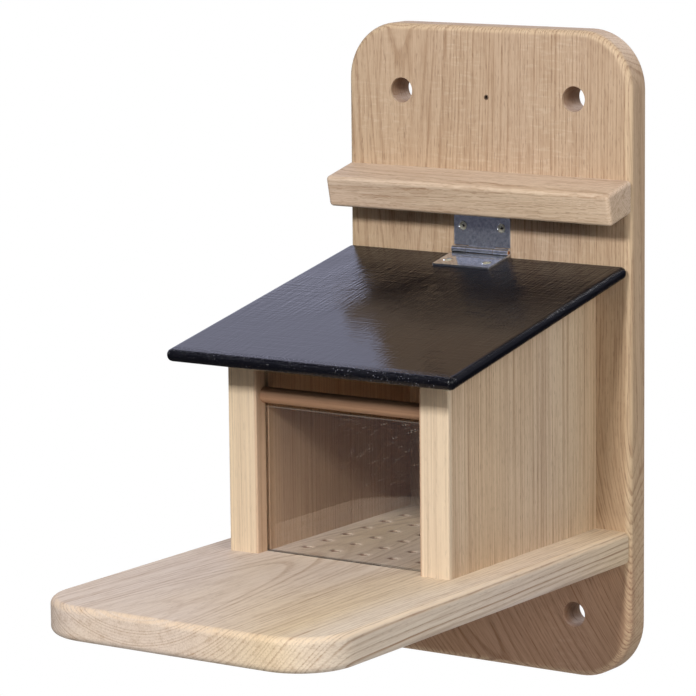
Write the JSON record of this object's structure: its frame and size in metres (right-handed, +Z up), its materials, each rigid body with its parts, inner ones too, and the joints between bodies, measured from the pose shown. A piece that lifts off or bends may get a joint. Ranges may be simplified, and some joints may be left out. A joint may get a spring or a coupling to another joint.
{
  "type": "squirrel feeder",
  "caption": "Wall-hung squirrel feeder box of solid wood with a landing floor, a clear front window, a crossbar, a rain ledge and a sloping hinged lid that the squirrel lifts.",
  "frame": {"origin": "middle of the four mounting holes, on the rear face of the back board", "axes": "+X to the right as seen from the front, -Y to the front (+Y into the wall), +Z up"},
  "size_m": [0.2, 0.3475, 0.392],
  "materials": {
    "oak": "planed light oak, unvarnished",
    "dowel_wood": "smooth turned hardwood",
    "black_paint": "gloss black paint brushed on wood",
    "clear_acrylic": "clear, polished",
    "zinc_steel": "bright zinc plate",
    "pin_steel": "steel wire, its ends rusty",
    "yellow_zinc_screw": "yellow zinc plate",
    "wood_screw": "yellow zinc plate"
  },
  "bodies": {
    "feeder": {"back_board": "oak", "floor_board": "oak", "left_side": "oak", "right_side": "oak", "rain_ledge": "oak", "crossbar": "dowel_wood", "window_pane": "clear_acrylic", "hinge_wall_leaf": "zinc_steel", "hinge_pin": "pin_steel", "hinge_wall_screw_left": "yellow_zinc_screw", "hinge_wall_screw_right": "yellow_zinc_screw", "ledge_screw_left": "wood_screw", "ledge_screw_right": "wood_screw", "floor_screw_left": "wood_screw", "floor_screw_middle": "wood_screw", "floor_screw_right": "wood_screw", "left_side_screw_lower": "wood_screw", "left_side_screw_upper": "wood_screw", "right_side_screw_lower": "wood_screw", "right_side_screw_upper": "wood_screw", "left_foot_screw_front": "wood_screw", "left_foot_screw_rear": "wood_screw", "right_foot_screw_front": "wood_screw", "right_foot_screw_rear": "wood_screw"},
    "lid": {"lid": "black_paint", "hinge_lid_leaf": "zinc_steel", "hinge_lid_screw_left": "yellow_zinc_screw", "hinge_lid_screw_right": "yellow_zinc_screw"}
  },
  "joints": [
    {"name": "lid_hinge", "type": "hinge", "parent": "feeder", "child": "lid", "pos_m": [-0.0028, -0.0224, 0.06192], "axis": [-1, 0, 0], "range_deg": [0, 65]}
  ]
}
